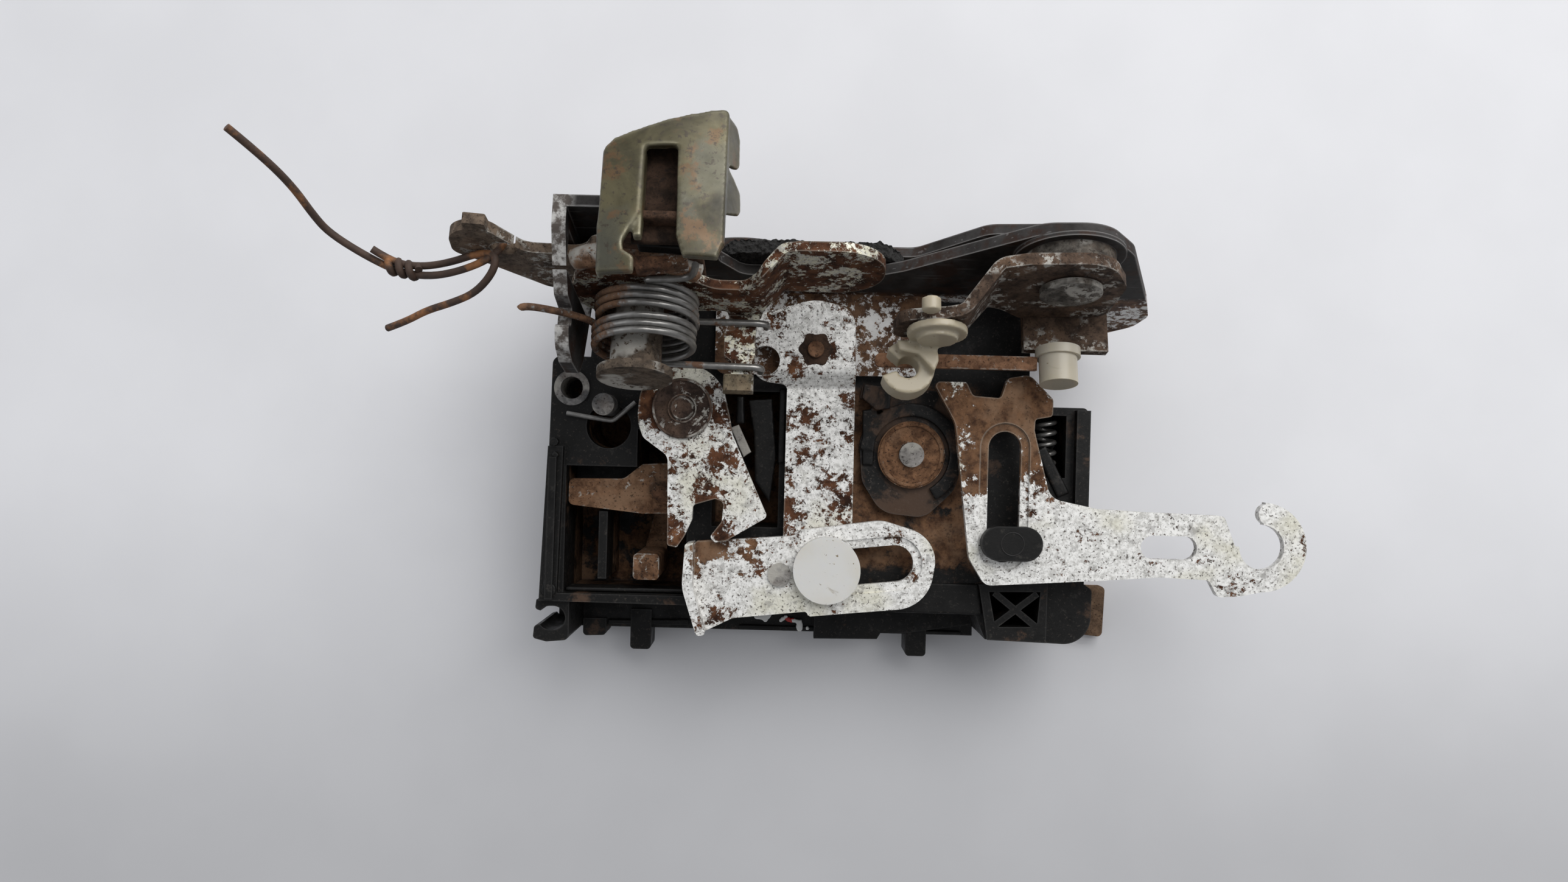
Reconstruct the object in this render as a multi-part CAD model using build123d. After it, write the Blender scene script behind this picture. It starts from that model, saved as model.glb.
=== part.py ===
from build123d import *
from math import atan2, copysign, cos, degrees, radians, sin
import os

# Car side-door latch, in millimetres, lying on its back cover with its levers facing up (+Z).
# Origin: on the underside of the back cover, below the middle of the lever deck.
# +Y points to the lock plate, which leans outward from the deck; +X points to the pull hook.

# ---- driving dimensions ----
DECK = 26.0                # top of the plastic housing
SHEET = 1.7                # thickness of the flat levers
GAP = 0.3                  # clearance between stacked levers
PLATE = 2.0                # thickness of the lock plates
LEAN = 15.0                # lean of the lock plates, degrees from upright
FOLD_Y, FOLD_Z = 27.0, 28.0    # where the inner lock plate folds into its base flange
WIRE = 1.2                 # wire of the two torsion springs

ROCKER_Z = DECK + GAP                  # undersides of the four lever layers
STRAP_Z = ROCKER_Z + SHEET + GAP
SLIDE_Z = STRAP_Z + SHEET + GAP
TOP_Z = SLIDE_Z + SHEET + GAP

CAM = (-18.2, 5.3)         # pivot of the cam lever
ROCKER = (23.2, -1.9)      # pivot of the plastic rocker
BUTTON = (8.2, -22.9)      # nylon button that guides the slotted lever
GUIDE = (39.4, -17.1)      # guide of the lock slide
POST = (-32.8, 5.8)        # post of the thin leg spring
SLOT_TILT = 6.5            # tilt of the slotted lever, degrees
RIM = 0.5                  # depth of the pressed rims round the long slots

AXLE = (-24.6, 18.5)       # positions on the lock plate: along X, then up its slope
COIL = (-23.3, 18.5)       # axis of the coils, which lean to one side of the axle
KEY = (46.6, 20.5)
CLIP = (24.7, 19.0)
CLAW = (-8.5, -10.0)
PAWL = (17.0, -12.5)
HOLES = [(-29.0, -0.5), (38.0, -14.0), (54.0, -3.0)]

FACE = Plane(
    origin=(0, FOLD_Y, FOLD_Z),
    x_dir=(1, 0, 0),
    z_dir=(0, -cos(radians(LEAN)), sin(radians(LEAN))),
)


# ---- helpers ----
def sheet(outline, low, high, on=Plane.XY):
    """A sheet cut to an outline of (x, y) or (x, y, corner radius) points, between two heights."""
    corners = [point[:2] for point in outline]
    radii = [point[2] if len(point) > 2 else 0 for point in outline]
    if any(radii):
        edge = FilletPolyline(*corners, radius=radii, close=True)
    else:
        edge = Polyline(*corners, close=True)
    return on * Pos(0, 0, low) * extrude(make_face(edge), high - low, dir=(0, 0, 1))


def disc(centre, radius, low, high):
    """A round bar standing on a point, between two heights."""
    return Pos(centre[0], centre[1], (low + high) / 2) * Cylinder(radius, high - low)


def slot(start, end, radius, low, high):
    """A round-ended slot between two centres."""
    run = Vector(*end) - Vector(*start)
    middle = (Vector(*start) + Vector(*end)) * 0.5
    bar = Box(run.length, 2 * radius, high - low)
    turned = Pos(middle.X, middle.Y, (low + high) / 2) * Rot(0, 0, degrees(atan2(run.Y, run.X))) * bar
    return turned + disc(start, radius, low, high) + disc(end, radius, low, high)


def ribbon(path, thickness, bend):
    """The outline of a folded sheet seen edge on, with rounded folds."""
    points = [Vector(*point) for point in path]
    runs = [(b - a).normalized() for a, b in zip(points, points[1:])]
    left, right = [], []
    for index, point in enumerate(points):
        first = runs[max(index - 1, 0)]
        last = runs[min(index, len(runs) - 1)]
        miter = (first + last).normalized()
        side = Vector(-miter.Y, miter.X) * (thickness / 2 / miter.dot(last))
        half = 0 if index in (0, len(points) - 1) else copysign(thickness / 2, first.cross(last).Z)
        bend_here = bend if half else 0
        left.append(((point + side).X, (point + side).Y, max(bend_here - half, 0)))
        right.append(((point - side).X, (point - side).Y, max(bend_here + half, 0)))
    return left + right[::-1]


def folded(path, thickness, bend, outline):
    """A lever folded along Y: its path in X and Z, cut to an outline in X and Y."""
    return sheet(ribbon(path, thickness, bend), -60, 60, Plane.XZ) & sheet(outline, -40, 60)


def tube(points, radii, radius):
    """A bent wire through a list of points."""
    path = FilletPolyline(*points, radius=radii)
    start = Plane(origin=path @ 0, z_dir=path % 0)
    return sweep(start * Circle(radius), path=path)


def coil(radius, wire, turns, pitch):
    """A coil of round wire that starts at the origin's height and climbs +Z."""
    path = Helix(pitch, pitch * turns, radius)
    start = Plane(origin=path @ 0, z_dir=path % 0)
    return sweep(start * Circle(wire / 2), path=path, is_frenet=True)


def rivet(centre, stem, head, low, top, dome):
    """A rivet with a flat head that has a smaller raised centre."""
    body = disc(centre, stem, low, top)
    return body + disc(centre, head, top, top + dome) + disc(centre, stem * 0.9, top + dome, top + dome + 0.5)


# ---- fixed structure ----
def rear_cover():
    outline = [
        (-43, -34, 2), (57, -37.4, 1), (66, -38.4, 1), (66.4, -28, 1), (58.4, -28, 1), (58.4, 5, 2), (44, 5), (44, 18),
        (-34, 18), (-34, 12), (-43, 12, 2),
    ]
    return sheet(outline, 0, 2.2)


def housing():
    outer = [
        (-43.8, -30.4), (36, -31), (38, -35.6), (57.3, -36.3, 5), (57.5, -26, 1), (56, -25), (56, 7.5, 1),
        (45, 7.5), (45, 27), (-35, 27), (-36, 14.6), (-43, 14.6, 1.5),
    ]
    block = sheet(outer, 2.2, DECK)
    block += sheet([(-43.8, -37.7), (38.3, -37.7), (38.3, -30), (-43.8, -30)], 2.2, 9)
    block += sheet([(6.8, -38.6), (19.2, -38.4), (19.9, -37.2), (24.7, -37.1), (38, -35), (38, -30), (6.8, -30)], 9, 12)
    block += sheet([(-38.8, -39.5, 0.8), (-34.2, -39.3, 0.8), (-34.2, -36), (-38.8, -36)], 3, 10)
    block += sheet([(-43.8, -30.4), (21, -30.8), (21, -28.8), (-43.8, -28.9)], 20, DECK + 1.6)
    block += sheet([(-44.2, -30.4), (-41, -30.4), (-40.4, -2), (-43.2, -2)], DECK, DECK + 1.6)
    block += sheet([(53.5, -24), (56, -24), (56, 7), (53.5, 7)], DECK, DECK + 2)
    block += sheet([(36.3, -25.3), (48.9, -24.9), (48.8, -35.7), (38.1, -35.4)], DECK, DECK + 2)
    for left, right in ((-29.4, -25.3), (25, 29.1)):
        block += sheet([(left, -41.9, 0.8), (right, -41.9, 0.8), (right, -34), (left, -34)], 3, 10)
    block -= sheet([(-27, 1.5), (-17.5, 1.5), (-17.5, -28.8), (-40, -28.9), (-40, -5.5), (-27, -5.5)], 6, 40)
    block -= sheet([(-13, 9), (-0.8, 9), (-0.8, -16), (-13, -16)], 10, 40)
    block -= sheet([(46, -5.5), (52, -5.5), (52, 6), (46, 6)], 14, 40)
    block -= sheet([(38.2, -26.6), (47.6, -26.4), (47.1, -32.8), (39.5, -33)], 12, 40)
    block -= disc((-32.4, 1.9), 4.1, 8, 40)
    block -= slot((5.3, 17), (5.3, 12.4), 2.4, 19, 40)
    rib = sheet([(-34.2, -26.6), (-32.6, -26.6), (-32.6, -14), (-34.2, -14)], 6, 23)
    rib += sheet([(46, -5.5), (47.4, -5.5), (52, 1), (50.6, 1)], 14, 19)
    for angle in (38, -38):
        rib += Pos(43.1, -29.8, 20) * Rot(0, 0, angle) * Box(10, 1.2, 16)
    block += rib & sheet(outer, 0, 60)
    behind = Pos(0, 0, -9.88) * Box(300, 200, 20)
    for stub in (CAM, ROCKER, BUTTON, GUIDE):
        block -= disc(stub, 2.3, 12, 40)
    block -= disc(POST, 2, 20, 40)
    return block - FACE * behind - bush_hole()


def bush_hole():
    return disc((-39.3, 8.8), 3.25, 16, 40)


def threaded_bush():
    ring = disc((-39.3, 8.8), 3.25, 16, DECK + 0.6)
    return ring - disc((-39.3, 8.8), 2.05, 10, 40)


def seal_strip():
    return sheet([(-43, -30), (-41.6, -30), (-41.4, -4), (-42.8, -4)], DECK + 1.6, DECK + 2.6)


def retaining_clip():
    jaw = [
        (-45, -30.5), (-38.9, -30.5), (-38.9, -37.8, 1), (-43, -38.2, 1), (-45.5, -37.6, 0.6), (-45.3, -35.3, 0.6),
        (-43.6, -34.9), (-43.6, -32.7), (-45.2, -32.2, 0.6),
    ]
    return sheet(jaw, 9, 25.6) - slot((-41.8, -33.8), (-42.4, -33.8), 2.2, 0, 40)


def chassis():
    face = [
        (-37, -24, 3), (54, -24, 6), (66.6, -12.5, 5), (68, -7, 4), (66, -1, 6), (57.5, 20.5, 7), (51, 28.6, 8),
        (41, 28, 7), (20, 11.4, 8), (14, 8.2, 3), (-8, 8.2, 3), (-12, 14, 3), (-12, 33.5, 2), (-37, 33.5, 2),
    ]
    body = sheet(face, -PLATE, 0)
    flange = [
        (-2, 33.5), (3, 33.2, 2), (8.5, 30, 3), (12.2, 27, 1), (12.8, 22.4, 0.6), (15.7, 22.4, 0.6), (16.2, 25, 1), (19.5, 23, 2),
        (20.8, 19, 2), (20.5, 12, 3), (17, 9, 2), (0, 2), (-2, 2),
    ]
    side = sheet([(-n, s, *r) for n, s, *r in flange], -37, -34.8, Plane(origin=(0, 0, 0), x_dir=(0, 0, -1), z_dir=(1, 0, 0)))
    body += side - Pos(-36, 18, 5.7) * Box(6, 24, 6.6)
    body += disc(KEY, 9.2, 0, 0.8) - disc(KEY, 7.5, 0, 0.8)
    for centre, radius in ((KEY, 4.0), (AXLE, 3.6), (CLAW, 2.6), (PAWL, 2.6), (HOLES[0], 4.5), (HOLES[1], 4.5), (HOLES[2], 4.5)):
        body -= disc(centre, radius, -10, 0)
    base = sheet([(-13, 12, 2), (27, 12.4, 2), (27, FOLD_Y), (-13, FOLD_Y)], DECK + 0.05, FOLD_Z)
    base -= slot((5.3, 17), (5.3, 9), 2.2, 20, 40)
    return FACE * body + base


def face_plate():
    outline = [
        (-38, -24, 3), (54, -24, 6), (62, -14, 5), (61, 2, 4), (50, 7, 4), (36, 6, 5), (24, -5, 4), (5.5, -5, 2),
        (5.5, -16, 5.4), (-5.5, -16, 5.4), (-5.5, -5, 2), (-15, -4, 4), (-24, 9, 4), (-36, 10, 4), (-38, -16, 2),
    ]
    body = sheet(outline, -12, -12 + PLATE)
    for hole in HOLES:
        body += disc(hole, 5.2, -10, -6)
        body -= disc(hole, 2.6, -20, 0)
    for centre in (CLAW, PAWL):
        body -= disc(centre, 2.6, -20, 0)
    return FACE * body


def plate_spacers():
    group = [disc(centre, 3, -10, -PLATE) for centre in ((-34, -19), (56.5, -17), (24.5, -21), (-34.5, 7))]
    return FACE * Compound(group)


def striker_gasket():
    outline = [(-13, -2, 1), (-13, 6, 2), (-10.5, 12.5, 3), (-4, 13.2, 3), (6, 12.6, 4), (17, 13, 3), (20.6, 8, 3), (20, -2, 1)]
    return FACE * sheet(outline, -5, -PLATE)


def pivot_pin(centre):
    return FACE * (disc(centre, 2.55, -12, 0) + disc(centre, 4.2, -13, -12))


def lever_axle():
    body = disc(AXLE, 3.55, -PLATE, 0) + disc(AXLE, 6.5, 0, 2.7) + disc(AXLE, 4.2, 2.7, 21.6)
    return FACE * (body + disc(AXLE, 6.2, 21.6, 23.1))


def torsion_spring(low, turns, path, bends):
    """Close-wound coil round the axle, with one wire through a list of points for each of its legs."""
    group = Pos(*COIL, low + WIRE / 2) * coil(8.15, WIRE, turns, WIRE + 0.02)
    for points, radii in zip(path, bends):
        group += tube(points, radii, WIRE / 2)
    return FACE * group


def return_spring():
    x, s = COIL
    to_finger = [(x, s - 8.15, 9.9), (-6, s - 8.1, 9.9), (-3.6, s - 8.1, 9.9), (-3.5, s - 9.7, 9.9)]
    to_bracket = [(x + 1, s + 8.2, 9.2), (x + 7, s + 8.9, 8.8), (x + 8.6, s + 13, 8.8)]
    return torsion_spring(8.6, 3, [to_finger, to_bracket], [[0, 1.1], [2]])


def holding_spring():
    x, s = COIL
    to_finger = [(x, s - 8.15, 17.6), (-6, s - 8.1, 17.9), (-4.3, s - 8.1, 17.9), (-4.2, s - 9.7, 17.9)]
    to_flange = [(x - 8.15, s, 14.2), (x - 8.3, s + 2.2, 14.2), (x - 13.1, s + 6.2, 14.2), (x - 18.2, s + 10, 14.4)]
    return torsion_spring(13.4, 3.5, [to_finger, to_flange], [[0, 1.1], [1, 2]])


# ---- levers on the deck ----
def cam_lever():
    outline = [
        (-26.2, 3, 8), (-25.5, 13, 7), (-12, 13, 7), (-9.8, 4.2, 2), (-9.2, 0.9, 3), (-7.7, -2.4, 4), (-4.5, -9.5, 2),
        (-2.6, -13.6, 0.8), (-9.8, -18, 1), (-11.8, -18.4, 0.8), (-12.8, -17.4, 0.7), (-10.7, -14.6, 1),
        (-10.4, -11.1, 1), (-12, -10.6, 0.8), (-15.9, -11.8, 0.8), (-16, -14.4, 1), (-17.4, -17.6, 1),
        (-18.6, -19.4, 0.5), (-20.3, -19.1, 0.5), (-20.6, -3.2, 2), (-25.1, 0, 2),
    ]
    lever = sheet(outline, TOP_Z, TOP_Z + SHEET)
    lever += disc(CAM, 4.35, DECK + GAP, TOP_Z)
    return lever - disc(CAM, 2.2, 0, 60)


def cam_rivet():
    return rivet(CAM, 2.15, 5.4, 12, TOP_Z + SHEET + 0.1, 0.5)


def slotted_lever():
    outline = [
        (-15.6, -18.4, 0.8), (2.4, -17, 2), (3.4, -15.9, 1), (18, -13.8, 6), (28.4, -16.8, 6), (26.5, -29.2, 7),
        (13.6, -30.5, 4), (5.2, -31.4, 0.6), (4.8, -30.5, 0.6), (-8.4, -32, 4), (-13.8, -34.7, 1), (-16.4, -30, 3),
    ]
    lever = sheet(outline, SLIDE_Z, SLIDE_Z + SHEET)
    edge = [(-15.6, -18.4), (-17, -18.6, 0.5), (-17.4, -26.3, 8), (-14.6, -34.9, 0.8), (-13.0, -34.5, 0.5), (-15.5, -26.3, 8)]
    lever += sheet(edge, SLIDE_Z, SLIDE_Z + 5.5)
    turn = radians(SLOT_TILT)
    far = (BUTTON[0] + 12.4 * cos(turn), BUTTON[1] + 12.4 * sin(turn))
    near = (BUTTON[0] - 0.4, BUTTON[1])
    lever -= slot(near, far, 3.3, 0, 60) + slot(near, far, 4.9, SLIDE_Z + SHEET - RIM, 60)
    return lever - disc((-0.2, -24), 1.6, 0, 60)


def lever_stud():
    return disc((-0.2, -24), 1.6, SLIDE_Z, SLIDE_Z + SHEET) + disc((-0.2, -24), 2.1, SLIDE_Z + SHEET, SLIDE_Z + SHEET + 0.6)


def guide_button():
    return disc(BUTTON, 2.25, 14, TOP_Z) + disc(BUTTON, 6, TOP_Z, TOP_Z + 1.8)


def strap_lever():
    path = [(-25, STRAP_Z + SHEET / 2), (10.2, STRAP_Z + SHEET / 2), (12.6, SLIDE_Z + SHEET / 2), (30, SLIDE_Z + SHEET / 2)]
    side = Plane(origin=(0, 0, 0), x_dir=(0, 1, 0), z_dir=(1, 0, 0))
    outline = [
        (0.3, -22), (5, -22), (5, -16.2, 3), (11.4, -16.2, 3), (11.4, -22), (12.8, -22), (12.6, 12, 1),
        (12.2, 24, 4), (5, 25.6, 8), (-5.9, 22.5, 4), (-6.6, 11, 4), (0.3, 10.2, 1),
    ]
    lever = sheet(ribbon(path, SHEET, 2), -40, 40, side) & sheet(outline, 0, 60)
    return lever - disc((-3.7, 14.4), 2.6, 0, 60) - disc((5.3, 16.6), 1.6, 0, 60)


def strap_pin():
    top = SLIDE_Z + SHEET
    return disc((5.3, 16.6), 1.55, 21, top + 1.2) + Pos(5.3, 16.6, top + 0.4) * extrude(RegularPolygon(3, 6), 0.8)


def rocker():
    outline = [
        (13.6, 8, 0.5), (14.2, 10.8, 0.8), (19.4, 10.2, 1), (30.6, 9.8, 6), (33.4, 2, 7), (31.6, -8, 6), (26, -13.4, 4),
        (18, -12.6, 5), (14.4, -7, 4), (13.8, 0, 2), (15, 4.2, 1), (19, 5, 1), (19, 8, 1),
    ]
    lever = sheet(outline, ROCKER_Z, ROCKER_Z + SHEET)
    return lever - disc(ROCKER, 2.35, 0, 60)


def rocker_rivet():
    return disc(ROCKER, 2.25, 12, STRAP_Z + 1.9)


def rocker_washer():
    return disc(ROCKER, 6.1, STRAP_Z, STRAP_Z + 1) - disc(ROCKER, 2.3, 0, 60)


def lock_slide():
    outline = [
        (26.2, 11.3, 0.8), (32.2, 11.3, 0.6), (33.4, 8.9, 1), (38.4, 8.6, 0.8), (39.5, 12.2, 1), (43.4, 12.9, 2),
        (47.7, 8.6, 1), (47.7, 5.6, 0.7), (44.6, 5, 0.6), (44.5, 3, 1), (47.6, -9, 3), (56.3, -10.7, 4),
        (64.4, -11, 1), (78.6, -11.3, 1), (80.6, -16.5, 1.5),
    ]
    hook = [(84, -22), (85.4, -24.7), (81.7, -25.5), (77.8, -25.8, 1), (76.2, -22.8, 1), (67.5, -22.5), (56.6, -23.4), (36.4, -24.8, 2), (33.4, -20, 4), (30.4, 4, 5)]
    lever = sheet(outline + hook, TOP_Z, TOP_Z + SHEET)
    eye = (85.4, -16.7)
    ring = disc(eye, 8, TOP_Z, TOP_Z + SHEET)
    lever += ring - sheet([(70, -16.7), (85.4, -16.7), (86.2, -4), (70, -4)], 0, 60)
    lever -= disc(eye, 4, 0, 60)
    lever += disc((86.6, -10.8), 1.9, TOP_Z, TOP_Z + SHEET)
    top, bottom = (GUIDE[0], -0.2), (GUIDE[0], GUIDE[1] - 0.6)
    lever -= slot(top, bottom, 2.9, 0, 60) + slot(top, bottom, 4.4, TOP_Z + SHEET - RIM, 60)
    return lever - slot((66, -17.2), (71.8, -17.2), 2.1, 0, 60)


def oval_guide():
    head = slot((GUIDE[0] - 1.1, GUIDE[1]), (GUIDE[0] + 3.6, GUIDE[1]), 3.05, TOP_Z + SHEET + GAP, TOP_Z + SHEET + 2.2)
    return head + disc(GUIDE, 2.25, 14, TOP_Z + SHEET + GAP)


def inner_lever():
    arm = [
        (-39.8, -8, 1), (-29.6, -7.8, 2), (-26.2, -5, 1), (-19.5, -4.6, 1), (-18.6, -14, 1), (-26, -14.2, 2), (-39.8, -12.8, 1),
    ]
    lever = sheet(arm, 22, 24) + sheet([(-21.6, -11.8), (-24.2, -11.8), (-24.2, -13.8), (-21.6, -13.8)], 10, 24)
    lever += sheet([(-21.6, -11.8), (-24.2, -11.8), (-26.6, -21.4), (-26.6, -25.6), (-22.8, -25.6)], 10, 12)
    lever += sheet([(-27.2, -26.2, 0.8), (-22.4, -26.2, 0.8), (-22.4, -21.4, 0.8), (-27.2, -21.4, 0.8)], 10, 26.5)
    return lever - disc((-21.5, -9), 2.05, 0, 60)


def inner_rivet():
    return disc((-21.5, -9), 2.0, 6, 24.1) + disc((-21.5, -9), 3.2, 24.1, 25.2)


def spring_post():
    return disc(POST, 2, 20, DECK + 5)


def leg_spring():
    return tube([(-40, 4.1, 27), (-34.8, 3.3, 27.4), (-31.4, 2.9, 27.6), (-27.4, 6.4, 27.6)], [2, 1.5], 0.45)


def block_spring():
    return Pos(49, -4.6, 22) * Rot(-90, 0, 0) * coil(1.8, 0.8, 5, 1.9)


# ---- levers on the lock plate ----
def release_lever():
    outline = [
        (-54, 26, 3), (-53, 34, 5), (-47, 34.8, 3), (-42.4, 26.4, 3), (-33, 25.6, 3), (-31, 30, 2), (-19, 30, 3),
        (-15.5, 22, 4), (-16, 11, 5), (-30, 9, 5), (-36, 11, 2), (-41, 12, 3), (-49, 21, 3),
    ]
    body = sheet(outline, 3, 4.8) + sheet([(-50, 33, 0.5), (-46.6, 32, 0.5), (-46.6, 36.2, 0.4), (-50, 36.8, 0.4)], 3, 4.8)
    return FACE * (body - disc(AXLE, 4.25, 0, 10) - disc((-45.5, 27.5), 2.2, 0, 10))


def release_bracket():
    paddle = [
        (-27.6, -4.8, 1.6), (-23.6, -7), (-18.3, -9), (-9.6, -11.4, 1.2), (-9.6, 10.4, 1), (-10.4, 12.5, 1), (-15.4, 12.5, 1),
        (-16.4, 9.6, 1), (-16.8, -4.9, 0.6), (-21.8, -4.7, 0.6), (-22, 6, 1), (-24.2, 10.4, 1), (-22.4, 12.7, 1),
        (-22.4, 14.9, 1.2), (-27.9, 15, 1.6), (-28.1, 8),
    ]
    upright = Plane(origin=(0, 44, 0), x_dir=(1, 0, 0), z_dir=(0, 1, 0))
    panel = sheet([(x, -n, *r) for x, n, *r in paddle], -0.9, 0.9, upright)
    stem = sheet([(-20, 12), (-13.5, 12), (-13.5, 43.5), (-27, 43.5), (-27, 29)], 4.9, 6.3)
    return FACE * (panel + stem - disc(AXLE, 8, 0, 10))


def transfer_lever():
    path = [(-60, 7.3), (-4.6, 7.3), (-0.8, 3.2), (40, 3.2)]
    outline = [
        (-36, 19, 6), (-33, 28.6, 5), (-24, 30, 3), (-17, 25.6, 3), (-12, 21, 3), (-7, 21, 2), (-4, 26.4, 2), (2, 28, 2),
        (16, 28.2, 8), (16.2, 10.8, 8), (2, 11, 4), (-4, 11.6, 1), (-4.6, 7.8), (-10, 7.8), (-10.4, 11.4, 1), (-16, 11, 3),
        (-24, 8.4, 8), (-34, 9, 6),
    ]
    lever = folded(path, SHEET, 1.6, outline)
    finger = [
        (-10, 6.5), (-10, 8.8, 0.4), (-9, 9.2, 0.3), (-9, 10.8, 0.3), (-10.7, 11.2, 0.6), (-10.7, 15.6, 0.6), (-9.4, 16.6, 0.4), (-9.4, 19),
        (-5.9, 19), (-5.9, 16.6, 0.4), (-5.4, 15.6, 0.6), (-5.4, 11.2, 0.6), (-5.3, 10.8), (-5.3, 9.2), (-4.8, 8.8), (-4.8, 6.5),
    ]
    upright = Plane(origin=(0, 7.8, 0), x_dir=(1, 0, 0), z_dir=(0, 1, 0))
    return FACE * (lever + sheet([(x, -n, *r) for x, n, *r in finger], 0, 1.8, upright) - disc(AXLE, 4.25, 0, 12))


def finger_block():
    return FACE * sheet([(-10.7, 7.6, 0.3), (-5.5, 7.6, 0.3), (-5.5, 9.9, 0.6), (-10.7, 9.9, 0.6)], 19, 21.9)


def key_lever():
    path = [(0, 12), (28.5, 12), (34, 5), (80, 5)]
    outline = [
        (17.5, 14, 2), (18.5, 21.6, 3), (26, 23.5, 6), (30.5, 26, 3), (38, 29.4, 5), (51, 30.4, 7), (55.8, 21, 5), (55.6, 8, 2), (41, 6, 2),
        (37, 10, 4), (29, 13.4, 4),
    ]
    lever = folded(path, PLATE, 2, outline)
    shelf = sheet([(41.5, 4.6), (56.3, 4.6), (56.3, 6.6), (41.5, 6.6)], 4, 12)
    return FACE * (lever + shelf - disc(KEY, 3.55, 0, 20) - disc(CLIP, 1.9, 0, 20))


def key_rivet():
    body = disc(KEY, 3.95, -PLATE, 0) + disc(KEY, 7.5, 0, 3.7) + disc(KEY, 3.5, 3.7, 6.3)
    return FACE * (body + disc(KEY, 5.1, 6.3, 7.3))


def link_bush():
    centre = (KEY[0] + 0.7, 7.0)
    return FACE * (disc(centre, 3.9, 12, 13.6) + disc(centre, 3.3, 13.6, 18.4))


def link_bar():
    return sheet([(15.5, 13.4, 1), (43.7, 13.4), (43.7, 15.8), (15.5, 15.8, 1)], 36.2, 38.4)


def rod_clip():
    x, s = CLIP
    body = disc(CLIP, 5, 13.2, 14.4) + disc(CLIP, 1.85, 11.4, 13.2) + disc(CLIP, 3.2, 14.4, 16)
    arm = sheet([(x - 3, s + 2, 1), (x + 1.6, s + 2, 1), (x + 1, s - 8, 0), (x - 3.4, s - 8, 0)], 14.4, 16.4)
    hook_at = Pos(x - 4.2, s - 8.5, 18.6) * Rot(90, 0, 0)
    ring = hook_at * (Cylinder(4.4, 4.2) - Cylinder(2.3, 20))
    return FACE * (body + arm + ring - Pos(x - 7.5, s - 8.5, 19.6) * Box(6, 20, 2.4))


# ---- claw and pawl ----
def claw():
    body = disc(CLAW, 13.5, -9.3, -5.4) - slot((0, -10), (0, 30), 2.9, -20, 0)
    body -= sheet([(0, -6), (20, -6), (20, 20), (0, 20)], -20, 0)
    return FACE * (body - disc(CLAW, 2.6, -20, 0))


def pawl():
    outline = [
        (6, -18, 1), (14, -18.6, 3), (23, -17, 4), (25, -9, 3), (14, -8.2, 3), (10, -12.4, 2), (6.2, -13.5, 0.5),
    ]
    return FACE * (sheet(outline, -9.3, -5.4) - disc(PAWL, 2.6, -20, 0))


def tie_wire():
    points = [(-84.0, 44.0, 69), (-77.6, 37.6, 60), (-71.6, 31.0, 54), (-64.0, 26.4, 51), (-57.0, 26.6, 52.5), (-50.6, 27.2, 56.4), (-45.6, 28.4, 56.2), (-45.3, 32.8, 54.2)]
    return tube(points, [6, 5, 5, 5, 4, 2.2], 0.7)


def tie_loop():
    points = [(-66.6, 17.4, 46), (-60.0, 20.0, 50.2), (-54.0, 21.0, 53), (-50.4, 24.0, 55.2)]
    return tube(points, [4, 3], 0.7)


NODES = [
    rear_cover, housing, threaded_bush, seal_strip, retaining_clip, chassis, face_plate, plate_spacers, striker_gasket,
    lever_axle, return_spring, holding_spring, cam_lever, cam_rivet, slotted_lever, lever_stud, guide_button,
    strap_lever, strap_pin, rocker, rocker_rivet, rocker_washer, lock_slide, oval_guide, inner_lever, inner_rivet,
    spring_post, leg_spring, block_spring, release_lever, release_bracket, transfer_lever, finger_block, key_lever,
    key_rivet, link_bush, link_bar, rod_clip, claw, pawl, tie_wire, tie_loop,
]

os.makedirs("parts", exist_ok=True)
for make in NODES:
    export_step(make(), f"parts/{make.__name__}.step")
export_step(pivot_pin(CLAW), "parts/claw_pin.step")
export_step(pivot_pin(PAWL), "parts/pawl_pin.step")
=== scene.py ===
import math
import random

import bmesh
import bpy
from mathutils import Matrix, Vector


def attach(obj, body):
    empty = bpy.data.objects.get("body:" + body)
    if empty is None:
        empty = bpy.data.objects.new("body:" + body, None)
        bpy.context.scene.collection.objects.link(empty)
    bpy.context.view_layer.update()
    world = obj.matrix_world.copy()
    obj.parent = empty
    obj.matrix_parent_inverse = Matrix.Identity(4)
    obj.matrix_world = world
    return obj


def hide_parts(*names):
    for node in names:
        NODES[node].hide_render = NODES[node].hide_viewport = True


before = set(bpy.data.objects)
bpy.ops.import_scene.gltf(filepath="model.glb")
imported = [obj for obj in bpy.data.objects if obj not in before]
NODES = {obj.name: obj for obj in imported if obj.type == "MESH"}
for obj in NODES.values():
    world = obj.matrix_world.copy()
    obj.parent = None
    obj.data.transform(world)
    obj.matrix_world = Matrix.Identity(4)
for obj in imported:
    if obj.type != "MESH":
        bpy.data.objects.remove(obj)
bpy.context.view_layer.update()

MM = 0.001

# The lock plate leans back from upright. FOLD is the middle of its fold, in millimetres.
LEAN = math.radians(15)
FOLD = Vector((0, 27, 28))
ALONG_S = Vector((0, math.sin(LEAN), math.cos(LEAN)))
ALONG_N = Vector((0, -math.cos(LEAN), math.sin(LEAN)))

# Places in millimetres: (x, y) on the housing, or (x, s) on the lock plate.
CAM = (-18.2, 5.3)
ROCKER = (23.2, -1.9)
OVAL_GUIDE = (40.7, -17.1)
STRAP_PIN = (5.3, 16.6)
ROD_CLIP = (24.7, 19.0)
COIL = (-23.3, 18.5)

STRAP_TOP = 32.0              # height of the strap's upper face
COIL_RADIUS = 8.15            # the torsion springs' coils
COIL_STEP = 20                # degrees between two places along a coil
SPRING_WIRE = 0.6             # radii of the two kinds of wire
BINDING_WIRE = 0.62
EDGE_ROUND = 0.25             # width of the rounding on sharp edges

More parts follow.
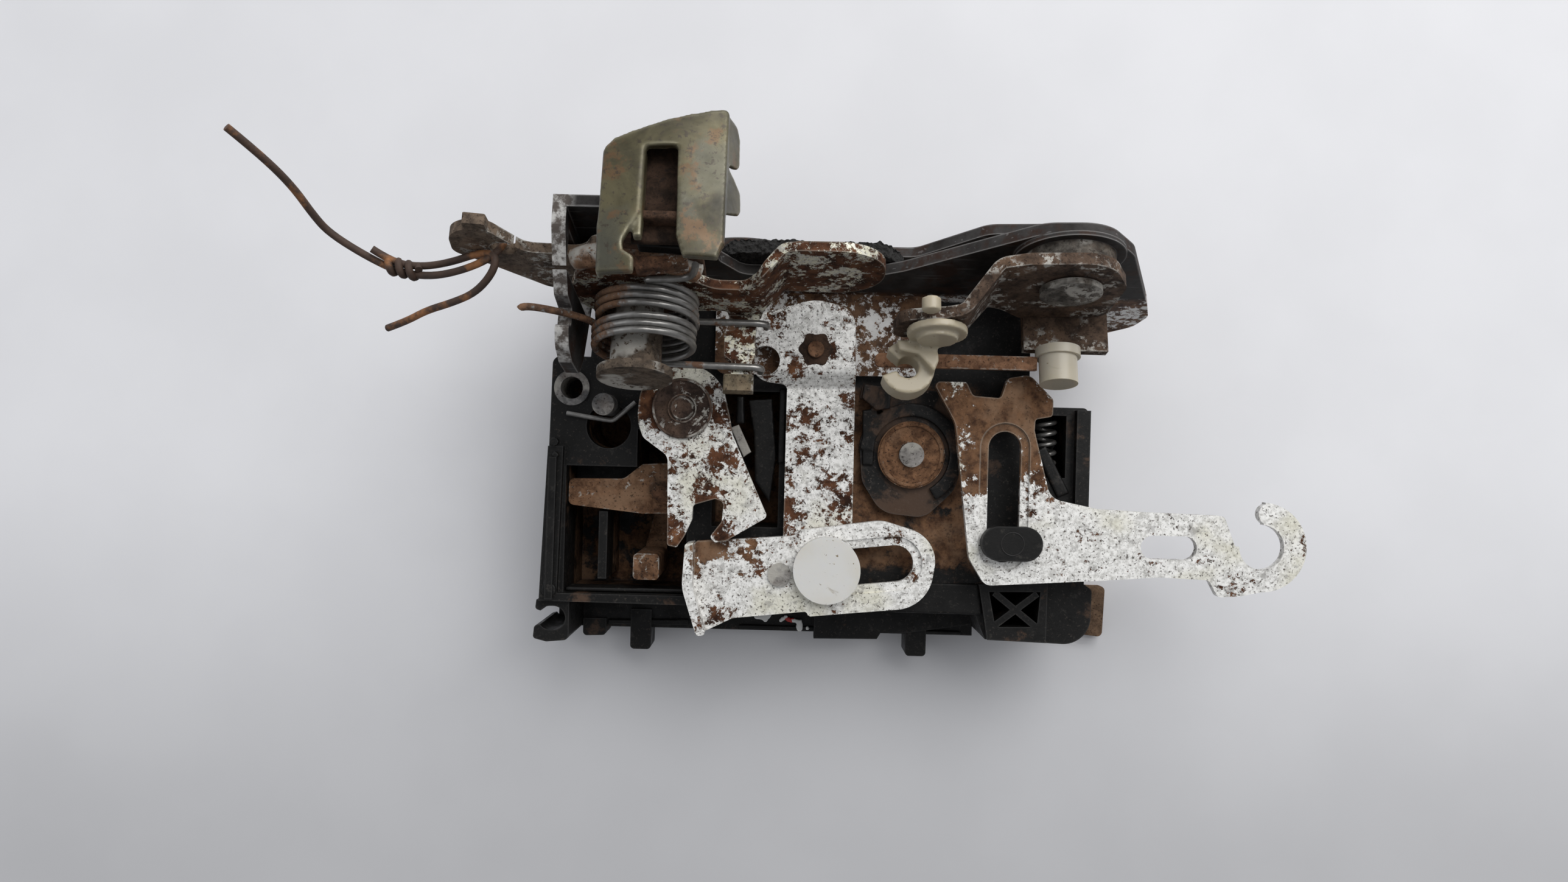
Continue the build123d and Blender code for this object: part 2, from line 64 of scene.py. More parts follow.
EYE_HEIGHT = 0.245            # camera, in metres above the table
EYE_TURN = math.radians(1.5)
LENS = 27.25                  # both in millimetres of film
SENSOR = 36


# ---- node material helper ----
class Paint:
    """A material whose node tree is built by small calls. Each seed shifts the patterns."""

    def __init__(self, name, seed=0.0):
        self.material = bpy.data.materials.new(name)
        self.material.use_nodes = True
        self.tree = self.material.node_tree
        self.shader = self.tree.nodes["Principled BSDF"]
        place = self.add("ShaderNodeTexCoord").outputs["Object"]
        shift = self.add("ShaderNodeMapping")
        shift.inputs["Location"].default_value = (seed * 0.37, seed * 0.21, seed * 0.53)
        self.link(place, shift.inputs["Vector"])
        self.place = shift.outputs["Vector"]
        self.plain = place

    def add(self, kind, **settings):
        node = self.tree.nodes.new(kind)
        for key, value in settings.items():
            setattr(node, key, value)
        return node

    def link(self, a, b):
        self.tree.links.new(a, b)

    def put(self, value, socket):
        if isinstance(value, bpy.types.NodeSocket):
            self.link(value, socket)
        elif isinstance(value, (tuple, list)):
            socket.default_value = (*value, 1.0) if len(value) == 3 else value
        else:
            socket.default_value = value

    def noise(self, scale, detail=6.0, rough=0.6, warp=0.0, stretch=None):
        node = self.add("ShaderNodeTexNoise")
        vector = self.place
        if stretch:
            squeeze = self.add("ShaderNodeMapping")
            squeeze.inputs["Scale"].default_value = stretch
            self.link(vector, squeeze.inputs["Vector"])
            vector = squeeze.outputs["Vector"]
        self.link(vector, node.inputs["Vector"])
        node.inputs["Scale"].default_value = scale
        node.inputs["Detail"].default_value = detail
        node.inputs["Roughness"].default_value = rough
        node.inputs["Distortion"].default_value = warp
        return node.outputs["Fac"]

    def cells(self, scale):
        node = self.add("ShaderNodeTexVoronoi")
        self.link(self.place, node.inputs["Vector"])
        node.inputs["Scale"].default_value = scale
        return node.outputs["Distance"]

    def step(self, value, low, high, to_low=0.0, to_high=1.0):
        node = self.add("ShaderNodeMapRange")
        node.interpolation_type = "SMOOTHSTEP"
        self.put(value, node.inputs["Value"])
        for name, number in (
            ("From Min", low), ("From Max", high), ("To Min", to_low), ("To Max", to_high)
        ):
            node.inputs[name].default_value = number
        return node.outputs["Result"]

    def calc(self, kind, a, b=0.0, clamp=False):
        node = self.add("ShaderNodeMath", operation=kind, use_clamp=clamp)
        self.put(a, node.inputs[0])
        self.put(b, node.inputs[1])
        return node.outputs[0]

    def mix(self, share, a, b):
        node = self.add("ShaderNodeMix", data_type="RGBA")
        self.put(share, node.inputs["Factor"])
        self.put(a, node.inputs["A"])
        self.put(b, node.inputs["B"])
        return node.outputs["Result"]

    def axis(self, name):
        node = self.add("ShaderNodeSeparateXYZ")
        self.link(self.plain, node.inputs[0])
        return node.outputs[name]

    def tilt(self, name):
        """How far the surface faces along an axis."""
        node = self.add("ShaderNodeSeparateXYZ")
        self.link(self.add("ShaderNodeNewGeometry").outputs["Normal"], node.inputs[0])
        return node.outputs[name]

    def edges(self, reach=0.0005):
        """1 along the edges of the piece, 0 on open faces. reach is how far the pale edges run, in metres;
        most callers paint them pale, partly as wear, partly as painted highlight.
        """
        rounded = self.add("ShaderNodeBevel", samples=4)
        rounded.inputs["Radius"].default_value = reach
        turn = self.add("ShaderNodeVectorMath", operation="DOT_PRODUCT")
        self.link(rounded.outputs["Normal"], turn.inputs[0])
        self.link(self.add("ShaderNodeNewGeometry").outputs["Normal"], turn.inputs[1])
        return self.step(turn.outputs["Value"], 0.80, 0.98, 1.0, 0.0)

    def region(self, *limits, ragged=0.004):
        """1 inside a box given as (axis, low, high) in metres, with a ragged edge."""
        wander = self.calc("MULTIPLY", self.calc("SUBTRACT", self.noise(260, 6, 0.7), 0.5), ragged * 2)
        blur = 0.0012
        share = 1.0
        for name, low, high in limits:
            place = self.calc("ADD", self.axis(name), wander)
            share = self.calc("MULTIPLY", self.step(place, low - blur, low + blur), share)
            share = self.calc("MULTIPLY", self.step(place, high - blur, high + blur, 1.0, 0.0), share)
        return share

    def crust(self, tan=0.5):
        """The colour of rust dust caked on a surface."""
        tone = self.mix(
            self.step(self.noise(420, 7, 0.72), 0.34, 0.66), (0.050, 0.024, 0.014), (0.20, 0.105, 0.055)
        )
        tone = self.mix(self.step(self.noise(130, 5, 0.6), 0.46, 0.66, 0, tan), tone, (0.27, 0.165, 0.10))
        return self.mix(
            self.step(self.noise(2300, 3, 0.6), 0.60, 0.68, 0, 0.6), tone, (0.02, 0.013, 0.01)
        )

    def bump(self, height, strength, depth):
        node = self.add("ShaderNodeBump")
        node.inputs["Strength"].default_value = strength
        node.inputs["Distance"].default_value = depth
        self.link(height, node.inputs["Height"])
        self.link(node.outputs["Normal"], self.shader.inputs["Normal"])

    def finish(self, **values):
        for name, value in values.items():
            self.put(value, self.shader.inputs[name.replace("_", " ")])
        return self.material


# ---- materials ----
def plated(name, zinc, seed, caked=None, tone=(0.92, 0.91, 0.88)):
    """Zinc plating that has flaked off over rust. zinc is the share still plated, caked a dusty region."""
    p = Paint(name, seed)
    broad = p.noise(150, 3, 0.5)
    fine = p.noise(700, 10, 0.78, 0.2)
    speck = p.noise(2600, 3, 0.6)
    cover = p.calc("ADD", p.calc("MULTIPLY", fine, 0.60), p.calc("MULTIPLY", broad, 0.40))
    cover = p.calc("ADD", cover, p.calc("MULTIPLY", p.calc("SUBTRACT", speck, 0.5), 0.10))
    middle = 0.5 + (0.5 - zinc) * 0.32
    hidden = p.region(*caked, ragged=0.014) if caked else 0.0
    cover = p.calc("SUBTRACT", cover, p.calc("MULTIPLY", hidden, 0.13))
    plate = p.step(cover, middle - 0.004, middle + 0.006)
    rust = p.mix(p.step(p.noise(420, 7, 0.7), 0.34, 0.66), (0.022, 0.010, 0.006), (0.125, 0.052, 0.026))
    rust = p.mix(p.step(p.noise(200, 4, 0.6), 0.55, 0.70, 0, 0.55), rust, (0.23, 0.105, 0.050))
    rust = p.mix(hidden, rust, p.crust(0.75))
    bright = p.mix(p.step(p.noise(1300, 5, 0.7), 0.40, 0.66), tone, (0.56, 0.55, 0.52))
    bright = p.mix(p.step(p.noise(75, 3, 0.5), 0.54, 0.7, 0, 0.5), bright, (0.64, 0.61, 0.44))
    grey = p.step(p.noise(380, 8, 0.75), 0.54, 0.62, 0, 0.55)
    bright = p.mix(grey, bright, (0.26, 0.25, 0.235))
    pits = p.step(p.noise(2100, 3, 0.6), 0.59, 0.64)
    bright = p.mix(p.calc("MULTIPLY", pits, 0.85), bright, (0.055, 0.042, 0.034))
    # Pale edges over the rust: partly rubbed wear, partly painted highlight.
    rust = p.mix(p.calc("MULTIPLY", p.edges(), 0.5), rust, (0.42, 0.39, 0.33))
    color = p.mix(plate, rust, bright)
    p.bump(p.calc("ADD", p.calc("MULTIPLY", plate, 0.6), p.calc("MULTIPLY", fine, 0.6)), 0.6, 0.00016)
    return p.finish(
        Base_Color=color,
        Metallic=p.calc("MULTIPLY", plate, 0.35),
        Specular_IOR_Level=p.step(plate, 0.0, 1.0, 0.12, 0.45),
        Roughness=p.step(plate, 0.0, 1.0, 0.74, 0.46),
    )


def rusty(name, dark=(0.030, 0.017, 0.012), light=(0.17, 0.085, 0.048), dust=0.4, seed=0.0, bare=0.15):
    """Brown rust with tan dust and a little bare steel left on it."""
    p = Paint(name, seed)
    tone = p.noise(420, 9, 0.72, 0.3)
    color = p.mix(p.step(tone, 0.34, 0.66), dark, light)
    color = p.mix(p.step(p.noise(110, 5, 0.6), 0.5, 0.68, 0, dust), color, (0.27, 0.165, 0.10))
    grains = p.noise(2100, 3, 0.6)
    color = p.mix(p.step(grains, 0.57, 0.66, 0, 0.75), color, (0.018, 0.012, 0.010))
    metal = p.calc("ADD", p.noise(620, 8, 0.75), p.calc("MULTIPLY", p.edges(), 0.12))
    metal = p.step(metal, 0.70 - bare, 0.715 - bare)
    metal = p.calc("MULTIPLY", metal, p.step(p.noise(160, 3, 0.5), 0.47, 0.58))
    color = p.mix(metal, color, (0.46, 0.44, 0.40))
    p.bump(p.calc("ADD", tone, p.calc("MULTIPLY", grains, 0.4)), 0.8, 0.00025)
    return p.finish(
        Base_Color=color,
        Metallic=p.calc("MULTIPLY", metal, 0.5),
        Roughness=p.step(tone, 0.3, 0.7, 0.9, 0.66),
        Specular_IOR_Level=0.14,
    )


def greasy_steel(name, seed, flange=False):
    """Dark plate with dried grease, grime, and pale edges that are partly bare steel, partly painted
    highlight. flange adds the chassis's rusty folded side, whose upward faces are painted pale, partly as
    wear, partly as painted highlight.
    """
    p = Paint(name, seed)
    cloud = p.noise(90, 6, 0.65)
    color = p.mix(p.step(cloud, 0.32, 0.68), (0.016, 0.014, 0.013), (0.072, 0.068, 0.066))
    grime = p.step(p.noise(150, 7, 0.7, 0.5), 0.47, 0.62, 0, 0.85)
    color = p.mix(grime, color, (0.045, 0.025, 0.018))
    scratch = p.step(p.noise(600, 3, 0.5, 0.0, (0.12, 2.2, 2.2)), 0.64, 0.70)
    color = p.mix(p.calc("MULTIPLY", scratch, 0.3), color, (0.30, 0.30, 0.30))
    # Pale edges: partly bare steel, partly painted highlight.
    color = p.mix(p.calc("MULTIPLY", p.edges(), 0.6), color, (0.40, 0.39, 0.38))
    if flange:
        flakes = p.calc("ADD", p.noise(650, 9, 0.78), p.calc("MULTIPLY", p.noise(120, 3, 0.5), 0.5))
        rust = p.mix(p.step(flakes, 0.775, 0.785), p.crust(0.25), (0.86, 0.85, 0.83))
        shelf = p.region(("Z", 0.0, 0.0287), ("Y", 0.0105, 0.05), ragged=0.0008)
        color = p.mix(shelf, color, rust)
        # Painted highlight together with wear: the side flange's faces that point up are coloured pale
        # grey.
        wear_and_highlight = p.mix(p.step(p.noise(500, 8, 0.72), 0.42, 0.60), (0.10, 0.085, 0.075), (0.50, 0.49, 0.47))
        side = p.region(("X", -0.05, -0.0343), ragged=0.0003)
        rim = p.calc("MULTIPLY", side, p.step(p.tilt("Z"), 0.25, 0.6))
        color = p.mix(rim, color, wear_and_highlight)
    p.bump(p.noise(700, 6, 0.6), 0.45, 0.00015)
    return p.finish(
        Base_Color=color,
        Metallic=0.05,
        Roughness=p.step(cloud, 0.3, 0.7, 0.56, 0.78),
        Specular_IOR_Level=0.12,
    )


def black_plastic(name, dust, seed, pocket_dust=False):
    """Moulded black plastic with grain and scuffs. pocket_dust cakes rust dust in the housing's pockets."""
    p = Paint(name, seed)
    base = p.mix(p.noise(240, 5, 0.6), (0.003, 0.003, 0.003), (0.010, 0.0095, 0.009))
    wear = p.step(p.noise(520, 8, 0.75), 0.56, 0.66, 0, 0.35)
    base = p.mix(wear, base, (0.060, 0.054, 0.048))
    patches = p.step(p.noise(110, 7, 0.7, 0.4), 0.68 - dust * 0.3, 0.76 - dust * 0.22, 0, 0.8)
    speck = p.step(p.noise(1900, 4, 0.7), 0.59, 0.66, 0, 0.5)
    base = p.mix(p.calc("MULTIPLY", speck, dust * 1.2, True), base, (0.16, 0.13, 0.11))
    base = p.mix(patches, base, (0.085, 0.050, 0.032))
    # Lighter edges: partly scuffed wear, partly painted highlight.
    base = p.mix(p.calc("MULTIPLY", p.edges(), 0.4), base, (0.07, 0.068, 0.066))
    caked = 0.0
    if pocket_dust:
        rocker_bed = p.region(("X", 0.012, 0.036), ("Y", -0.023, 0.010), ("Z", 0.0240, 0.03))
        ledge = p.region(("X", -0.0405, -0.020), ("Y", -0.012, 0.012), ("Z", 0.012, 0.0225), ragged=0.001)
        floors = p.region(("X", -0.0405, 0.048), ("Y", -0.029, 0.028), ("Z", 0.0, 0.0145), ragged=0.0)
        field = p.calc("MAXIMUM", p.calc("MAXIMUM", rocker_bed, ledge), floors)
        caked = p.calc("MULTIPLY", field, p.step(p.noise(190, 7, 0.7), 0.40, 0.50))
        base = p.mix(caked, base, p.crust(0.6))
    p.bump(p.calc("ADD", p.noise(1300, 5, 0.65), p.calc("MULTIPLY", caked, 1.5)), 0.4, 0.0001)
    rough = p.step(p.noise(300, 4, 0.6), 0.3, 0.7, 0.34, 0.60)
    return p.finish(
        Base_Color=base,
        Roughness=p.calc("ADD", rough, p.calc("MULTIPLY", caked, 0.4)),
        Specular_IOR_Level=0.22,
    )


def olive_chromate(name, seed):
    """Yellow-green chromated steel, stained brown, with pale edges that are partly rubbed wear, partly
    painted highlight.
    """
    p = Paint(name, seed)
    cloud = p.noise(85, 5, 0.6, 0.6)
    color = p.mix(p.step(cloud, 0.3, 0.7), (0.024, 0.021, 0.012), (0.120, 0.104, 0.054))
    color = p.mix(p.step(p.noise(90, 4, 0.5), 0.52, 0.66, 0, 0.5), color, (0.075, 0.078, 0.066))
    warm = p.step(p.noise(190, 6, 0.68), 0.53, 0.62, 0, 0.75)
    color = p.mix(warm, color, (0.13, 0.072, 0.034))
    specks = p.step(p.noise(900, 6, 0.75), 0.545, 0.62, 0, 0.8)
    color = p.mix(specks, color, (0.045, 0.035, 0.025))
    # Pale edges: partly rubbed wear, partly painted highlight.
    color = p.mix(p.calc("MULTIPLY", p.edges(0.0011), 0.8), color, (0.46, 0.43, 0.31))
    p.bump(p.calc("ADD", cloud, p.calc("MULTIPLY", p.noise(900, 5, 0.6), 0.4)), 0.3, 0.00015)
    return p.finish(
        Base_Color=color,
        Metallic=0.35,
        Roughness=p.step(p.noise(260, 5, 0.6), 0.3, 0.7, 0.26, 0.46),
        Specular_IOR_Level=0.4,
    )


def spring_wire(name, rust, seed, rusty_side=None):
    """Drawn spring wire with a satin shine, patches of rust, and a coat of it left of rusty_side."""
    p = Paint(name, seed)
    streak = p.noise(900, 5, 0.6, 0.0, (1, 1, 0.3))
    color = p.mix(streak, (0.13, 0.125, 0.12), (0.40, 0.39, 0.37))
    eaten = p.calc("ADD", p.noise(110, 5, 0.6), p.calc("MULTIPLY", p.noise(900, 4, 0.6), 0.25))
    eaten = p.step(eaten, 0.80 - rust * 0.5, 0.86 - rust * 0.5)
    color = p.mix(eaten, color, p.mix(p.noise(700, 4, 0.6), (0.09, 0.045, 0.028), (0.25, 0.14, 0.085)))
    if rusty_side:
        side = p.region(("X", -0.08, rusty_side), ragged=0.006)
        coat = p.calc("MULTIPLY", side, p.step(p.noise(800, 6, 0.7), 0.36, 0.44))
        color = p.mix(coat, color, p.crust(0.3))
        eaten = p.calc("MAXIMUM", eaten, coat)
    p.bump(p.calc("ADD", streak, eaten), 0.35, 0.0001)
    return p.finish(
        Base_Color=color,
        Metallic=p.step(eaten, 0.0, 1.0, 0.70, 0.05),
        Roughness=p.step(eaten, 0.0, 1.0, 0.30, 0.8),
    )


def nylon(name, yellow, seed):
    """Aged natural nylon: milky, slightly yellow, with dirt specks."""
    p = Paint(name, seed)
    color = p.mix(p.step(p.noise(70, 4, 0.5), 0.35, 0.7), (0.66, 0.655, 0.635), (0.58, 0.55, 0.46))
    color = p.mix(yellow, color, (0.40, 0.345, 0.245))
    specks = p.step(p.noise(1300, 3, 0.6), 0.67, 0.71)
    smear = p.step(p.noise(260, 5, 0.6, 0.8), 0.63, 0.74, 0, 0.5)
    color = p.mix(p.calc("MAXIMUM", specks, smear), color, (0.26, 0.21, 0.14))
    p.bump(p.noise(800, 4, 0.6), 0.15, 0.0001)
    p.shader.inputs["Subsurface Radius"].default_value = (1.0, 0.8, 0.5)
    return p.finish(Base_Color=color, Roughness=0.36, Subsurface_Weight=0.25, Subsurface_Scale=0.002)


def foam(name):
    """Crumbling black open-cell foam."""
    p = Paint(name, 3.0)
    cells = p.cells(1500)
    color = p.mix(p.noise(600, 6, 0.7), (0.006, 0.006, 0.006), (0.040, 0.038, 0.036))
    p.bump(p.calc("ADD", cells, p.noise(900, 6, 0.7)), 1.0, 0.0005)
    return p.finish(Base_Color=color, Roughness=0.95)


def iron_wire(name):
    """Soft iron binding wire: dark oxide with orange rust patches."""
    p = Paint(name, 5.0)
    color = p.mix(p.noise(500, 6, 0.65), (0.020, 0.015, 0.013), (0.10, 0.055, 0.035))
    orange = p.step(p.noise(120, 5, 0.65), 0.52, 0.64, 0, 0.9)
    color = p.mix(orange, color, p.mix(p.noise(900, 4, 0.6), (0.20, 0.08, 0.03), (0.42, 0.19, 0.07)))
    p.bump(p.noise(1400, 5, 0.65), 0.6, 0.00015)
    return p.finish(Base_Color=color, Metallic=0.1, Roughness=0.7)


def table_top():
    """Pale grey-white laminate with faint mottling, and painted shade that darkens it towards the front."""
    p = Paint("table_top", 1.0)
    color = p.mix(p.step(p.noise(30, 4, 0.5), 0.3, 0.7), (0.765, 0.765, 0.785), (0.80, 0.80, 0.82))
    # Painted shade: the colour falls to 0.66 of its brightness towards the front (-Y).
    painted_light = p.step(p.axis("Y"), -0.095, 0.0, 0.66, 1.0)
    color = p.mix(p.calc("SUBTRACT", 1.0, painted_light), color, (0.0, 0.0, 0.0))
    p.bump(p.noise(900, 4, 0.6), 0.1, 0.00005)
    return p.finish(Base_Color=color, Roughness=0.62)


# The look of each CAD node. Some are covered later by a more detailed piece.
FINISH = {
    "housing": black_plastic("housing_plastic", 0.35, 0.4, pocket_dust=True),
    "rear_cover": rusty("cover_brown", (0.07, 0.045, 0.03), (0.19, 0.12, 0.075), 0.5, 2.0, 0.0),
    "threaded_bush": rusty("bush_steel", (0.10, 0.10, 0.10), (0.30, 0.29, 0.28), 0.2, 2.5, 0.3),
    "seal_strip": black_plastic("strip_plastic", 0.2, 1.4),
    "retaining_clip": black_plastic("clip_plastic", 0.2, 1.7),
    "chassis": greasy_steel("chassis_steel", 0.7, flange=True),
    "face_plate": greasy_steel("face_plate_steel", 1.9),
    "plate_spacers": rusty("spacer_rust", seed=3.0),
    "striker_gasket": foam("gasket_foam"),
    "lever_axle": rusty("axle_steel", (0.05, 0.04, 0.032), (0.15, 0.115, 0.085), 0.15, 4.1, 0.26),
    "return_spring": spring_wire("return_spring_wire", 0.35, 0.2),
    "holding_spring": spring_wire("holding_spring_wire", 0.25, 1.2),
    "cam_lever": plated("cam_plating", 0.55, 0.9),
    "cam_rivet": rusty(
        "cam_rivet_rust", (0.026, 0.018, 0.015), (0.085, 0.055, 0.042), 0.15, 0.8, 0.14
    ),
    "slotted_lever": plated(
        "slotted_plating", 0.72, 2.2, caked=(("X", -0.0165, -0.004), ("Y", -0.0225, -0.01))
    ),
    "lever_stud": rusty("stud_steel", (0.16, 0.15, 0.14), (0.36, 0.35, 0.33), 0.1, 2.7, 0.3),
    "guide_button": nylon("button_nylon", 0.05, 0.5),
    "strap_lever": plated("strap_plating", 0.58, 5.3),
    "strap_pin": rusty("strap_pin_rust", seed=1.1),
    "rocker": black_plastic("rocker_plastic", 0.85, 2.9),
    "rocker_rivet": rusty(
        "rocker_rivet_steel", (0.16, 0.15, 0.14), (0.34, 0.32, 0.30), 0.2, 0.4, 0.3
    ),
    "rocker_washer": rusty(
        "washer_rust", (0.07, 0.035, 0.02), (0.25, 0.13, 0.068), 0.5, 2.1, 0.02
    ),
    "lock_slide": plated(
        "slide_plating", 0.70, 1.6, caked=(("X", 0.0, 0.0485), ("Y", -0.008, 0.02))
    ),
    "oval_guide": black_plastic("oval_plastic", 0.05, 3.3),
    "inner_lever": rusty(
        "inner_lever_rust", (0.07, 0.035, 0.02), (0.24, 0.13, 0.072), 0.75, 0.6, 0.1
    ),
    "inner_rivet": rusty("inner_rivet_rust", seed=1.6),
    "spring_post": rusty("post_steel", (0.08, 0.08, 0.08), (0.22, 0.215, 0.21), 0.2, 1.0, 0.2),
    "leg_spring": spring_wire("leg_spring_wire", 0.1, 2.2),
    "block_spring": spring_wire("block_spring_wire", 0.15, 3.2),
    "release_lever": rusty(
        "release_rust", (0.06, 0.045, 0.035), (0.19, 0.14, 0.10), 0.3, 3.7, 0.16
    ),
    "release_bracket": olive_chromate("bracket_chromate", 0.3),
    "transfer_lever": plated("transfer_plating", 0.42, 6.1, tone=(0.74, 0.71, 0.56)),
    "finger_block": rusty(
        "block_steel", (0.06, 0.05, 0.035), (0.20, 0.165, 0.11), 0.2, 6.6, 0.24
    ),
    "key_lever": rusty(
        "key_lever_rust", (0.032, 0.022, 0.017), (0.115, 0.075, 0.052), 0.3, 4.4, 0.17
    ),
    "key_rivet": rusty(
        "key_rivet_steel", (0.045, 0.040, 0.035), (0.16, 0.145, 0.125), 0.2, 4.9, 0.24
    ),
    "link_bush": nylon("bush_nylon", 0.7, 1.5),
    "link_bar": rusty("bar_rust", (0.10, 0.05, 0.03), (0.30, 0.16, 0.09), 0.4, 2.3, 0.1),
    "rod_clip": nylon("clip_nylon", 0.4, 2.5),
    "claw": greasy_steel("claw_steel", 2.9),
    "pawl": greasy_steel("pawl_steel", 3.4),
    "claw_pin": rusty("claw_pin_rust", seed=5.2),
    "pawl_pin": rusty("pawl_pin_rust", seed=5.9),
    "tie_wire": iron_wire("tie_wire_iron"),
    "tie_loop": iron_wire("tie_loop_iron"),
}


# ---- shape helpers ----
def at(x, s, n):
    """World place in millimetres of a point given on the lock plate: along X, up its slope, outward."""
    return FOLD + Vector((x, 0, 0)) + ALONG_S * s + ALONG_N * n


def deck(x, y, z):
    """A block that lies flat on the housing."""
    return Vector((x, y, z))


def facing(x, n, s):
    """A sheet that stands across the lock plate: its outline runs along X and outward."""
    return at(x, s, n)


def flank(n, s, x):
    """A sheet that lies across X."""
    return at(x, s, n)


def arc(centre, radius, start, end, count):
    """Points of an arc between two angles in degrees."""
    turns = [math.radians(start + (end - start) * i / count) for i in range(count + 1)]
    return [(centre[0] + radius * math.cos(a), centre[1] + radius * math.sin(a)) for a in turns]


def circle(centre, radius):
    return arc(centre, radius, 0, 360, 28)[:-1]


def collar(centre, outer, inner, start, end):
    """Outline of a ring that is open between two angles."""
    return arc(centre, outer, start, end, 36) + arc(centre, inner, end, start, 36)


def ring(centre, outer, inner):
    """Outline of a whole ring, cut by a hair-thin gap so that it stays one loop."""
    return collar(centre, outer, inner, 0, 359.9)


def prism(shape, outline, low, high, place):
    """Adds a block to a bmesh: an outline between two heights. place turns its points into world ones."""
    bottom = [shape.verts.new(place(x, y, low) * MM) for x, y in outline]
    top = [shape.verts.new(place(x, y, high) * MM) for x, y in outline]
    shape.faces.new(bottom)
    shape.faces.new(top[::-1])
    for i in range(len(outline)):
        j = (i + 1) % len(outline)
        shape.faces.new((bottom[j], bottom[i], top[i], top[j]))


def settled(source, name):
    """The object's shape with its modifiers applied, as a new mesh object."""
    bpy.context.view_layer.update()
    mesh = bpy.data.meshes.new_from_object(source.evaluated_get(bpy.context.evaluated_depsgraph_get()))
    bpy.data.objects.remove(source)
    piece = bpy.data.objects.new(name, mesh)
    bpy.context.scene.collection.objects.link(piece)
    mesh.polygons.foreach_set("use_smooth", [True] * len(mesh.polygons))
    return piece


def moulded(name, blocks, voxel=0.3, rounds=3, bend=None):
    """Blocks melted into one piece with soft corners. bend moves each point of the result."""
    shape = bmesh.new()
    for block in blocks:
        prism(shape, *block)
    bmesh.ops.recalc_face_normals(shape, faces=shape.faces)
    mesh = bpy.data.meshes.new(name)
    shape.to_mesh(mesh)
    shape.free()
    raw = bpy.data.objects.new(name + "_raw", mesh)
    bpy.context.scene.collection.objects.link(raw)
    remesh = raw.modifiers.new("melt", "REMESH")
    remesh.mode = "VOXEL"
    remesh.voxel_size = voxel * MM
    smooth = raw.modifiers.new("round", "SMOOTH")
    smooth.factor = 0.5
    smooth.iterations = rounds
    piece = settled(raw, name)
    if bend:
        for vertex in piece.data.vertices:
            vertex.co = bend(vertex.co / MM) * MM
    return piece


def wire(name, runs, radius):
    """Round wires, each through a list of places in millimetres."""
    data = bpy.data.curves.new(name, "CURVE")
    data.dimensions = "3D"
    data.bevel_depth = radius * MM
    data.bevel_resolution = 3
    data.resolution_u = 5
    data.use_fill_caps = True
    for places in runs:
        spline = data.splines.new("NURBS")
        spline.points.add(len(places) - 1)
        for point, place in zip(spline.points, places):
            point.co = (*(place * MM), 1)
        spline.order_u = 3
        spline.use_endpoint_u = True
    raw = bpy.data.objects.new(name + "_raw", data)
    bpy.context.scene.collection.objects.link(raw)
    return settled(raw, name)


def helix(centre, radius, low, pitch, first, last, lean=0.0):
    """Places along a slightly uneven coil on the lock plate, between two angles in degrees."""
    count = int(abs(last - first) / COIL_STEP)
    places = []
    for i in range(count + 1):
        angle = math.radians(first + (last - first) * i / count)
        height = low + pitch * i * COIL_STEP / 360
        wobble = radius + 0.12 * math.sin(angle * 0.7 + low)
        x = centre[0] + wobble * math.cos(angle) + lean * (height - low)
        places.append(at(x, centre[1] + wobble * math.sin(angle), height))
    return places


def wear(piece, body, slot_name, material, *nodes):
    """Gives a piece its look, the body it moves with and the nodes it stands in for. slot_name is not used.
    """
    dress(piece, material)
    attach(piece, body)
    if nodes:
        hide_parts(*nodes)


def dress(piece, material):
    piece.data.materials.clear()
    piece.data.materials.append(material)


def soften(piece, width):
    """Rounds the sharp edges a little, as punched and moulded parts have them."""
    bevel = piece.modifiers.new("edge_round", "BEVEL")
    bevel.width = width
    bevel.segments = 2
    bevel.limit_method = "ANGLE"
    bevel.angle_limit = math.radians(38)
    bevel.harden_normals = False


for node, finish in FINISH.items():
    dress(NODES[node], finish)
for node in NODES:
    soften(NODES[node], EDGE_ROUND * MM)


# ---- detailed pieces ----
def springs():
    """The two torsion springs: each a coil with one long leg and one hooked leg."""
    x, s = COIL
    low, high = s - COIL_RADIUS, s + COIL_RADIUS
    upper = [
        at(x + 8.8, high + 4.8, 8.4), at(x + 8.6, high + 2.4, 8.6), at(x + 7.4, high + 0.4, 8.8),
        at(x + 4, high + 0.2, 9.0),
    ]
    upper += helix(COIL, COIL_RADIUS, 9.1, 1.26, 90, 90 - 360 * 3 - 180, 0.05)
    lead = [
        at(x + 2, low, 9.8), at(-14, low + 0.1, 9.9), at(-6.5, low + 0.1, 9.9), at(-4.2, low - 0.1, 9.9),
        at(-3.2, low - 0.9, 9.9), at(-3.6, low - 2.2, 9.8),
    ]
    front = wire("return_spring_wire", [upper, lead], SPRING_WIRE)
    wear(front, "case", "spring_steel", spring_wire("return_wire", 0.12, 0.2, -0.0255), "return_spring")
    left = [
        at(x - 18.6, s + 9.4, 15.0), at(x - 18.2, s + 9.8, 14.6), at(x - 13.1, s + 6.2, 14.1),
        at(x - 9.0, s + 2.6, 14.0), at(x - 8.2, s + 0.4, 14.0),
    ]
    left += helix(COIL, COIL_RADIUS, 14.1, 1.24, 180, 180 + 360 * 3 + 90, -0.05)
    tail = [
        at(x - 3, low, 17.5), at(-14, low + 0.1, 17.8), at(-6.6, low + 0.1, 17.9),
        at(-4.9, low - 0.1, 17.9), at(-3.9, low - 0.9, 17.9), at(-4.4, low - 2.3, 17.9),
    ]
    back = wire("holding_spring_wire", [left, tail], SPRING_WIRE)
    wear(back, "case", "spring_steel", spring_wire("holding_wire", 0.10, 1.2, -0.0285), "holding_spring")


